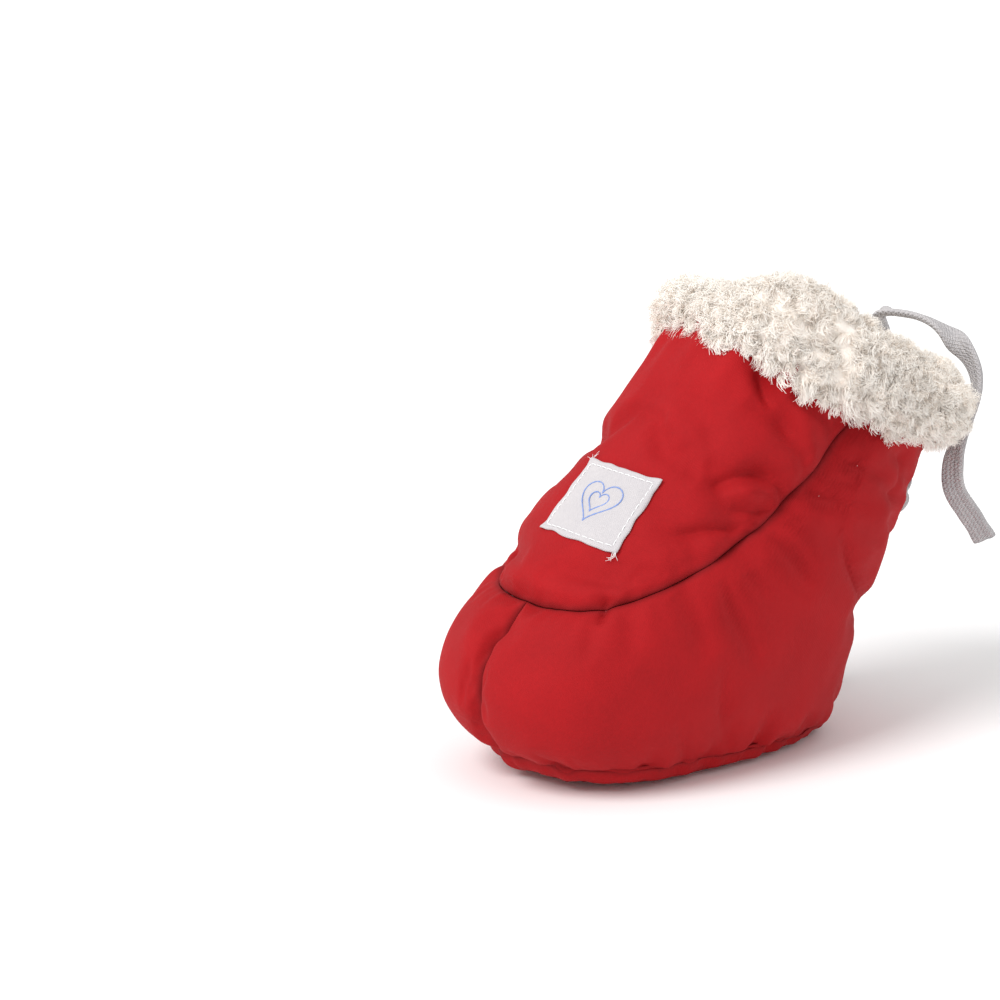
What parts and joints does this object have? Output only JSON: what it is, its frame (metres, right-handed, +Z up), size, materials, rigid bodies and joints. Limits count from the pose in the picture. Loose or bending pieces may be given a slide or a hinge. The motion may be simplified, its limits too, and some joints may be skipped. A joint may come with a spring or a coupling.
{
  "type": "baby bootie",
  "caption": "Padded cotton baby bootie with sherpa lining, turned-down sherpa cuff, woven label on the vamp and jersey tie band at the heel",
  "frame": {"origin": "on the floor, under the middle of the bootie's bounding box without the loose ends of the tie", "axes": "+Z up, toe towards -Y, heel towards +Y, +X to the right foot side of the vamp label"},
  "size_m": [0.088, 0.1666, 0.1275],
  "materials": {
    "red_cotton": "plain woven cotton, brushed, soft satin folds",
    "wadding": "lofted polyester wadding",
    "sherpa": "cream sherpa pile, matt",
    "label_cotton": "white woven cotton tape",
    "red_thread": "polyester sewing thread",
    "white_thread": "polyester sewing thread",
    "grey_jersey": "heather jersey knit, matt"
  },
  "bodies": {
    "root": {"sole_shell": "red_cotton", "sole_wadding": "wadding", "sole_lining": "sherpa", "left_side_shell": "red_cotton", "left_side_wadding": "wadding", "left_side_lining": "sherpa", "right_side_shell": "red_cotton", "right_side_wadding": "wadding", "right_side_lining": "sherpa", "vamp_shell": "red_cotton", "vamp_wadding": "wadding", "vamp_lining": "sherpa", "sherpa_cuff": "sherpa", "vamp_seam_thread": "red_thread", "toe_seam_thread": "red_thread", "heel_seam_thread": "red_thread", "sole_seam_thread": "red_thread", "label": "label_cotton", "label_stitching": "white_thread", "tie_band_middle": "grey_jersey", "bar_tack": "white_thread", "tie_long_end": "grey_jersey", "tie_short_end": "grey_jersey"}
  },
  "joints": []
}
